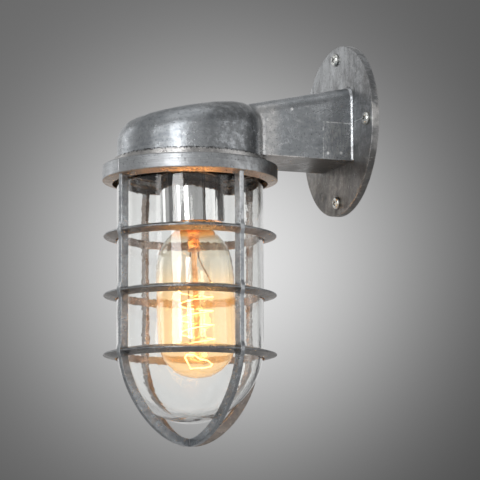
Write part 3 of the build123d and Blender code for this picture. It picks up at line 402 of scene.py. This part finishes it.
def hood_metal():
    """The arm's casting: a pale turned collar under a dark ragged line, and a rubbed patch by the plate."""
    s = AgedMetal("cast_metal", grey(0.28, -0.07), grey(0.52, -0.04), CAST_ROUGH, 0.8, CAST_GRAIN,
                  CAST_RELIEF)
    away, radius = s.outwards()
    # Painted shade: the hood's wall darker and mottled on the side to the camera's right
    shaded_side = s.times(s.side(away, HOOD_SHADE_TURN, 0.78, 0.97), s.remap(radius, *HOOD_WALL_R))
    s.tint(s.times(shaded_side, s.patchy(0.62, 0.46, 0.2, 0.7)), grey(0.15, -0.02))
    # Painted highlight on the arm's near side by the hood, where the fillet at the joint catches the light
    end_highlight = s.times(s.band(s.y, *END_HIGHLIGHT_Y, 0.006), s.remap(s.x, *ARM_EDGE_X))
    s.tint(s.times(end_highlight, s.patchy(0.38, 0.55, 0.45, 0.85)), grey(0.72, 0.01))
    collar = s.times(s.band(s.z, RING_TOP_Z, COLLAR_TOP_Z, 0.0002), s.remap(radius, *COLLAR_R))
    s.tint(s.times(collar, 0.75), s.mix(s.patchy(0.40, 0.60, 0.0, 1.0), grey(0.34, 0.04), grey(0.52, 0.04)))
    ragged = s.times(s.band(s.z, *RAGGED_Z, 0.0005), s.remap(s.grit, 0.47, 0.55))
    s.tint(s.times(ragged, s.remap(radius, *RAGGED_R)), grey(0.02))
    face = s.remap(s.x, *ARM_FACE_X)
    s.tint(s.times(face, s.remap(s.y, *DARKER_FACE_Y, 0.0, 0.35)), grey(0.22, -0.03))
    # Painted highlight along the arm's near bottom edge
    foot_highlight = s.times(s.band(s.z, *FOOT_HIGHLIGHT_Z, 0.0003), s.remap(s.y, *FOOT_HIGHLIGHT_Y, 0.1, 1.0))
    foot_highlight = s.times(foot_highlight, s.remap(s.y, *FOOT_HIGHLIGHT_END_Y))
    s.tint(s.times(face, foot_highlight, s.patchy(0.40, 0.54, 0.4, 1.0)), grey(0.92, 0.04))
    hatch = s.noise(s.scaled((300.0, 900.0, 220.0), (0.7, 0.0, 0.0)), 1.0, 2.0)
    inside = s.times(s.band(s.y, *PATCH_Y, PATCH_SOFT), s.band(s.z, *PATCH_Z, PATCH_SOFT))
    s.tint(s.times(face, inside, s.remap(hatch, 0.45, 0.62, 0.0, 0.45)), grey(0.55))
    left = s.times(s.band(s.y, *PATCH_LEFT_Y, PATCH_SOFT), s.band(s.z, *PATCH_Z, PATCH_LINE_END))
    above = s.times(s.band(s.z, *PATCH_UPPER_Z, PATCH_SOFT), s.band(s.y, *PATCH_Y, PATCH_LINE_END))
    lines = s.times(s.most(left, above), s.patchy(0.44, 0.56, 0.05, 0.75))
    # Painted glints, light caught on small dents and on the arm's joint, drawn with the patch's pale lines
    glints = s.most(*[s.spot(y, z, GLINT_R) for y, z in GLINTS])
    s.tint(s.times(face, s.most(lines, glints)), grey(0.92))
    # Painted light and shade on the faces that look down: pale and warm away from the plate, dark near it
    down = s.remap(s.upward(), -0.3, -0.7)
    s.tint(s.times(down, 0.8), s.mix(s.remap(s.y, *DARKER_FLOOR_Y), *UNDERSIDE_LIGHT_AND_SHADE))
    # Painted shade on the hood's inner faces
    inside_shade = s.most(s.remap(s.dot(s.normal, away), -0.3, -0.6), down)
    s.tint(s.times(inside_shade, s.remap(radius, *HOOD_INSIDE_R)), grey(0.04))
    return s.dulled()


def cage_metal():
    """The guard's casting: a smoother turned ring, and the bulb's warm glow painted on the faces that look at
    the bulb.
    """
    s = AgedMetal("cage_metal", grey(0.24, -0.05), grey(0.52, -0.04), CAST_ROUGH, CAGE_WEAR, CAST_GRAIN,
                  CAST_RELIEF)
    away, radius = s.outwards()
    outward = s.dot(s.normal, away)
    turned = s.noise(s.scaled((30.0, 30.0, 1800.0)), 1.0, 2.0)
    ring = s.times(s.band(s.z, RING_FOOT_Z, RING_TOP_Z, 0.0005), s.remap(radius, *RING_R))
    s.tint(s.times(ring, 0.7), s.mix(s.remap(turned, 0.35, 0.65), grey(0.38, -0.03), grey(0.50, -0.03)))
    # Painted shade: the ring darker and mottled on the side to the camera's right
    shaded_side = s.times(ring, s.side(away, RING_SHADE_TURN, 0.80, 0.97))
    s.tint(s.times(shaded_side, s.patchy(0.60, 0.44, 0.2, 0.75)), grey(0.20))
    s.rough = s.blend(s.times(ring, 0.8), s.rough, s.remap(turned, 0.35, 0.65, 0.46, 0.34))
    # The bulb's warm glow painted on faces that look down and faces that look at the axis: a painted
    # reflection
    under = s.times(s.remap(s.upward(), -0.35, -0.85), s.remap(radius, *HOOP_R))
    inner = s.remap(outward, -0.5, -0.9)
    s.tint(s.times(s.most(under, inner), 0.85), s.mix(s.share, *BULB_GLOW_REFLECTION))
    # The bulb's warm glow painted on the inner and side faces of the far bars: a painted reflection
    far = s.times(s.remap(s.dot(away, TO_CAMERA), 0.0, -0.3), s.remap(s.z, *FAR_SIDE_Z))
    far = s.times(far, s.remap(outward, 0.7, 0.3))
    s.tint(s.times(far, 0.7), s.mix(s.share, *FAR_GLOW_REFLECTION))
    s.tint(s.times(s.remap(s.z, *DARK_CAGE_Z), s.patchy(0.36, 0.62, 0.6, 0.35)), grey(0.19, -0.05))
    pale_bar = s.times(s.side(away, PALE_BAR_TURN, 0.96, 0.99), s.band(s.z, *PALE_BAR_Z, 0.012))
    s.tint(s.times(pale_bar, s.patchy(0.36, 0.60, 0.4, 0.8)), grey(0.62, -0.02))
    shaded = s.times(s.side(away, SHADED_BAR_TURN, 0.6, 0.9), s.remap(s.z, *SHADED_BAR_Z))
    s.tint(s.times(shaded, 0.65), s.mix(s.share, *SHADED_BROWN))
    s.wear = s.remap(s.z, *UNWORN_FOOT_Z, 0.0, CAGE_WEAR)
    # The bulb's light painted on the underside of the ring's lip
    lip = s.times(under, s.remap(s.z, *RING_LIP_Z))
    s.tint(s.times(lip, 0.7), RING_LIP_GLOW)
    upper = s.times(s.remap(s.upward(), 0.5, 0.9), s.remap(s.z, *HOOP_TOP_Z))
    s.tint(s.times(upper, 0.6), grey(0.10))
    return s.dulled()


def plate_metal():
    """The wall plate: brushed upright, browner towards its foot, with rubbed wear along its rim."""
    s = AgedMetal("plate_metal", grey(0.17, -0.01), grey(0.36, -0.02), PLATE_ROUGH, 0.8, PLATE_GRAIN)
    smudge = s.noise(s.scaled((110.0, 60.0, 45.0)), 1.0, 4.0, 0.6, 0.8)
    s.tint(s.times(s.remap(smudge, 0.38, 0.68), s.remap(s.z, *SMUDGE_Z, 0.25, 0.80)), grey(0.56, -0.03))
    s.tint(s.remap(s.z, *BROWN_FOOT_Z, 0.0, 0.8), s.mix(s.share, *PLATE_BROWN))
    s.tint(s.times(s.remap(s.x, *DARKER_SIDE_X), s.patchy(0.62, 0.40, 0.2, 0.65)), grey(0.15, -0.03))
    rim = s.times(s.remap(s.length(s.place), *PLATE_RIM_R), s.remap(s.blotch, 0.42, 0.58))
    s.tint(s.times(rim, s.band(s.z, *WORN_RIM_Z, 0.012), 0.7), grey(0.66, 0.03))
    scratch = s.times(s.band(s.x, *LONG_SCRATCH_X, 0.001), s.band(s.z, *LONG_SCRATCH_Z, 0.0002))
    s.tint(s.times(scratch, 0.6), grey(0.80))
    return s.dulled()


def screw_metal():
    s = AgedMetal("screw_steel", (0.60, 0.61, 0.57, 1.0), (0.90, 0.91, 0.88, 1.0), (0.18, 0.34), 0.6,
                  (900.0, 900.0, 900.0), 0.0001)
    return s.dulled()


def brass():
    s = AgedMetal("brass", (0.45, 0.31, 0.13, 1.0), (0.80, 0.62, 0.32, 1.0), (0.18, 0.36), 0.4,
                  (300.0, 300.0, 1200.0), 0.0001)
    return s.dulled()


def chrome():
    """Polished plating with a folded seam down the shell's side, and painted dark reflections as upright
    streaks.
    """
    s = Shader("chrome_shell")
    smear = s.noise(s.scaled((220.0, 220.0, 18.0)), 1.0, 3.0)
    colour = s.mix(s.remap(smear, 0.35, 0.7), grey(0.70), grey(0.84))
    drift = s.times(s.minus(CHROME_HIGH.z, s.z), math.tan(LEAN))
    from_axis = s.minus(s.minus(s.y, LAMP_Y), drift)
    folds = s.most(*[s.band(from_axis, *line, SEAM_SOFT) for line in SEAM_LINES])
    colour = s.mix(s.times(folds, s.remap(s.x, 0.0, 0.001)), colour, grey(0.03))
    away, _ = s.outwards()
    # Painted reflections: dark upright streaks where the chrome mirrors dark bars
    for turn, half_width in CHROME_DARK_REFLECTIONS:
        edge, core = math.cos(math.radians(half_width)), math.cos(math.radians(half_width * 0.5))
        streak = s.times(s.side(away, turn, edge, core), s.remap(smear, 0.3, 0.6, 0.9, 0.6))
        colour = s.mix(streak, colour, grey(0.08))
    ripple = s.noise(s.place, 130.0, 2.0)
    return s.finish({"Base Color": colour, "Metallic": 1.0,
                     "Roughness": s.remap(smear, 0.4, 0.75, 0.03, 0.09),
                     "Normal": s.bump(ripple, 0.00010)})


def plain_solid(name, dark, light, rough, grain=700.0, depth=0.00005):
    """A dull non-metal with fine grain and soft blotches."""
    s = Shader(name)
    cloud = s.noise(s.place, 90.0, 4.0)
    grit = s.noise(s.place, grain, 3.0)
    tone = s.plus(s.times(cloud, 0.6), s.times(grit, 0.4))
    colour = s.mix(s.remap(tone, 0.35, 0.65), dark, light)
    return s.finish({"Base Color": colour, "Roughness": s.remap(tone, 0.3, 0.7, rough[0], rough[1]),
                     "Normal": s.bump(grit, depth)})


def jar_glass():
    s = Shader("jar_glass")
    ripple = s.noise(s.scaled((42.0, 42.0, 22.0)), 1.0, 1.0, 0.4)
    dapple = s.noise(s.place, 420.0, 1.0)
    colour = s.mix(ripple, (0.985, 0.990, 0.980, 1.0), (0.995, 1.0, 0.990, 1.0))
    height = s.plus(ripple, s.times(dapple, 0.03))
    return s.finish({"Base Color": colour, "Transmission Weight": 1.0, "IOR": 1.46, "Roughness": 0.0,
                     "Normal": s.bump(height, 0.0007)})


def bulb_glass():
    """Thin amber-coated glass, with the coil's glow painted round the coil and a faint painted glow in the
    orange neck.
    """
    s = Shader("bulb_glass")
    tone = s.noise(s.scaled((60.0, 60.0, 12.0)), 1.0, 2.0)
    lit = s.remap(s.z, *COIL_GLOW_Z, kind="SMOOTHSTEP")
    pale = s.mix(tone, (0.985, 0.955, 0.860, 1.0), (0.990, 0.965, 0.890, 1.0))
    amber = s.mix(tone, (0.975, 0.900, 0.710, 1.0), (0.985, 0.930, 0.770, 1.0))
    neck = s.band(s.z, *NECK_Z, NECK_SOFT)
    orange = s.mix(tone, (0.67, 0.30, 0.025, 1.0), (0.76, 0.38, 0.05, 1.0))
    colour = s.mix(neck, s.mix(lit, pale, amber), orange)
    # Painted glow: emission round the coil, and faint in the neck
    strength = s.plus(s.times(lit, s.remap(tone, 0.3, 0.7, 0.08, 0.13)), s.times(neck, 0.03))
    return s.finish({"Base Color": colour, "Transmission Weight": 1.0, "IOR": 1.62, "Roughness": 0.0,
                     "Emission Color": (1.0, 0.46, 0.10, 1.0), "Emission Strength": s.plus(strength, 0.005)})


def stem_glass():
    s = Shader("stem_glass")
    tone = s.noise(s.place, 220.0, 2.0, 0.5, 1.0)
    colour = s.mix(s.remap(tone, 0.40, 0.60), (0.80, 0.40, 0.16, 1.0), (1.0, 0.88, 0.70, 1.0))
    # The stem's orange glow, painted as emission
    strength = s.remap(tone, 0.4, 0.6, 0.04, 0.24)
    return s.finish({"Base Color": colour, "Transmission Weight": 1.0, "IOR": 1.5, "Roughness": 0.02,
                     "Emission Color": (1.0, 0.32, 0.05, 1.0), "Emission Strength": strength})


def glowing_wire():
    s = Shader("filament")
    tone = s.noise(s.place, 400.0, 2.0)
    return s.finish({"Base Color": (0.05, 0.03, 0.02, 1.0), "Roughness": 0.6,
                     "Emission Color": (1.0, 0.62, 0.24, 1.0),
                     "Emission Strength": s.remap(tone, 0.3, 0.7, 3.0, 6.0)})


def dress(piece, material):
    piece.data.materials.clear()
    piece.data.materials.append(material)


def dress_nodes():
    """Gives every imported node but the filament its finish."""
    plastic = (0.3, 0.5)
    steel = screw_metal()
    yellow = brass()
    rubber = plain_solid("rubber", grey(0.012), grey(0.030), (0.55, 0.75))
    ceramic = plain_solid("ceramic", (0.68, 0.64, 0.56, 1.0), (0.80, 0.77, 0.70, 1.0), (0.12, 0.22))
    wire = plain_solid("lamp_wire", (0.05, 0.04, 0.03, 1.0), (0.16, 0.13, 0.10, 1.0), (0.35, 0.55))
    block = plain_solid("block_plastic", (0.60, 0.58, 0.52, 1.0), (0.74, 0.72, 0.66, 1.0), plastic)
    brown = plain_solid("wire_brown", (0.07, 0.03, 0.015, 1.0), (0.13, 0.06, 0.03, 1.0), plastic)
    blue = plain_solid("wire_blue", (0.02, 0.07, 0.26, 1.0), (0.04, 0.12, 0.40, 1.0), plastic)
    green = plain_solid("wire_green", (0.06, 0.20, 0.02, 1.0), (0.10, 0.32, 0.04, 1.0), plastic)
    finishes = {
        hood_metal(): ["arm_housing"],
        cage_metal(): ["cage"],
        plate_metal(): ["wall_plate"],
        steel: ["wall_screws", "arm_screws", "block_screws", "earth_screw", "bridge_screws", "post_screws",
                "terminal_screws", "nipple_nuts", "holder_bridge", "contact_spring", "cap_contact"],
        chrome(): ["holder_shell"],
        yellow: ["holder_posts", "nipple", "screw_shell", "contact_plunger", "bulb_cap"],
        ceramic: ["holder_insulator", "holder_collar"],
        rubber: ["cable_grommet", "glass_gasket", "cushion_gasket"],
        block: ["terminal_block"],
        brown: ["live_wire"],
        blue: ["neutral_wire"],
        green: ["earth_wire"],
        plain_solid("cap_glass", grey(0.010), grey(0.022), (0.08, 0.20)): ["cap_insulator"],
        jar_glass(): ["glass_jar"],
        bulb_glass(): ["bulb_glass"],
        stem_glass(): ["bulb_stem"],
        wire: ["lead_wires", "support_wires"],
    }
    for material, names in finishes.items():
        for name in names:
            dress(NODES[name], material)
    for name in ("glass_jar", "bulb_glass", "bulb_stem"):
        NODES[name].visible_shadow = False


def light_filament():
    """The glowing coil, its bent tail round the rod's end, and the light that both give."""
    glow = glowing_wire()
    dress(NODES["filament"], glow)
    curve = bpy.data.curves.new("filament_tail", "CURVE")
    curve.dimensions = "3D"
    curve.bevel_depth = TAIL_WIRE
    run = curve.splines.new("POLY")
    run.points.add(len(TAIL) - 1)
    run.use_cyclic_u = True
    for point, (side, up) in zip(run.points, TAIL):
        spot = STEM_FOOT + TO_CAMERA * TAIL_FORWARD + SIDEWAYS * side + Vector((0.0, 0.0, up))
        point.co = (*spot, 1.0)
    tail = bpy.data.objects.new("filament_tail", curve)
    bpy.context.scene.collection.objects.link(tail)
    dress(tail, glow)
    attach(tail, "bulb")
    data = bpy.data.lights.new("filament_light", "POINT")
    data.energy = FILAMENT_POWER
    data.color = FILAMENT_COLOUR
    data.shadow_soft_size = FILAMENT_SIZE
    lamp = bpy.data.objects.new("filament_light", data)
    lamp.location = COIL_MIDDLE
    lamp.visible_camera = False
    lamp.visible_transmission = False
    bpy.context.scene.collection.objects.link(lamp)
    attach(lamp, "bulb")


def softbox(name, turn, rise, distance, size, radiance):
    """One rectangular studio light, aimed at the lantern."""
    data = bpy.data.lights.new(name, "AREA")
    data.shape = "RECTANGLE"
    data.size, data.size_y = size
    data.energy = radiance * math.pi * size[0] * size[1]
    lamp = bpy.data.objects.new(name, data)
    way = around(turn, rise)
    lamp.location = LIGHT_TARGET + way * distance
    lamp.rotation_mode = "QUATERNION"
    lamp.rotation_quaternion = (-way).to_track_quat("-Z", "Y")
    lamp.visible_camera = False
    bpy.context.scene.collection.objects.link(lamp)


def camera_turn():
    return CAMERA_AIM.to_track_quat("-Z", "Y") @ Quaternion((0.0, 0.0, 1.0), CAMERA_ROLL)


def backdrop_middle():
    """The direction that the picture shows the backdrop's middle in."""
    x = (BACKDROP_AT[0] - PICTURE / 2) / FOCAL_PIXELS
    y = (PICTURE / 2 - BACKDROP_AT[1]) / FOCAL_PIXELS
    return (camera_turn() @ Vector((x, y, -1.0))).normalized()


def paint_world():
    """Soft grey surroundings, and behind the lantern a backdrop that darkens away from its middle."""
    world = bpy.data.worlds.new("studio")
    bpy.context.scene.world = world
    world.use_nodes = True
    n = Nodes(world.node_tree)
    way = n.add("TexCoord").outputs["Generated"]
    cosine = n.most(n.dot(way, backdrop_middle()), LEAST_COSINE)
    spread = n.minus(n.maths("DIVIDE", 1.0, n.times(cosine, cosine)), 1.0)
    glow = n.maths("POWER", math.e, n.times(spread, -BACKDROP_FALL))
    level = n.plus(n.times(glow, BACKDROP_BRIGHT), BACKDROP_DARK)
    corner = n.dot(way, camera_turn() @ Vector((-1.0, 1.0, 0.0)))
    level = n.most(n.plus(level, n.times(corner, BACKDROP_TILT)), ROOM_LEAST)
    level = n.blend(n.remap(spread, *BACKDROP_END), level, BACKDROP_REST)
    through = n.remap(spread, *GLASS_SPREAD, GLASS_TONE, BACKDROP_REST)
    level = n.blend(n.seen("Transmission"), level, through)
    backdrop = n.add("Background", {"Color": level}).outputs[0]
    up = n.add("SeparateXYZ", {"Vector": way}).outputs["Z"]
    room = n.remap(up, *ROOM_SPAN, ROOM_LOW, ROOM_HIGH)
    for turn, rise, reach, extra in ROOM_PATCHES:
        near = n.dot(way, around(turn, rise))
        room = n.plus(room, n.remap(near, math.cos(math.radians(reach)), 1.0, 0.0, extra, "SMOOTHSTEP"))
    room = n.add("Background", {"Color": n.most(room, ROOM_LEAST)}).outputs[0]
    both = n.add("MixShader", {0: n.seen("Camera", "Transmission"), 1: room, 2: backdrop}).outputs[0]
    n.add("OutputWorld", {"Surface": both})


def place_camera():
    data = bpy.data.cameras.new("camera")
    data.lens = CAMERA_LENS
    data.sensor_width = SENSOR
    data.clip_start, data.clip_end = CAMERA_CLIP
    camera = bpy.data.objects.new("camera", data)
    camera.location = CAMERA_PLACE
    camera.rotation_mode = "QUATERNION"
    camera.rotation_quaternion = camera_turn()
    bpy.context.scene.collection.objects.link(camera)
    bpy.context.scene.camera = camera


def lay_floor():
    """A pale floor under the lantern: one tone to the camera and to glass, and one to polished faces."""
    s = Shader("floor")
    tone = s.noise(s.place, 3.0, 3.0)
    colour = s.mix(tone, grey(0.58), grey(0.64))
    plain = s.add("BsdfPrincipled", {"Base Color": colour, "Roughness": 0.9}).outputs[0]
    level = s.blend(s.seen("Glossy"), FLOOR_TONE, FLOOR_GLOSS)
    pale = s.add("Emission", {"Color": s.plus(level, s.times(s.minus(tone, 0.5), FLOOR_BLOTCH))}).outputs[0]
    share = s.seen("Camera", "Transmission", "Glossy")
    s.add("OutputMaterial", {"Surface": s.add("MixShader", {0: share, 1: plain, 2: pale}).outputs[0]})
    mesh = bpy.data.meshes.new("floor")
    corners = [(x * FLOOR_HALF, y * FLOOR_HALF, FLOOR_Z) for x, y in ((-1, -1), (1, -1), (1, 1), (-1, 1))]
    mesh.from_pydata(corners, [], [(0, 1, 2, 3)])
    floor = bpy.data.objects.new("floor", mesh)
    dress(floor, s.material)
    bpy.context.scene.collection.objects.link(floor)


dress_nodes()
light_filament()
for settings in SOFTBOXES:
    softbox(*settings)
paint_world()
place_camera()
lay_floor()
bpy.context.scene.view_settings.view_transform = "Standard"
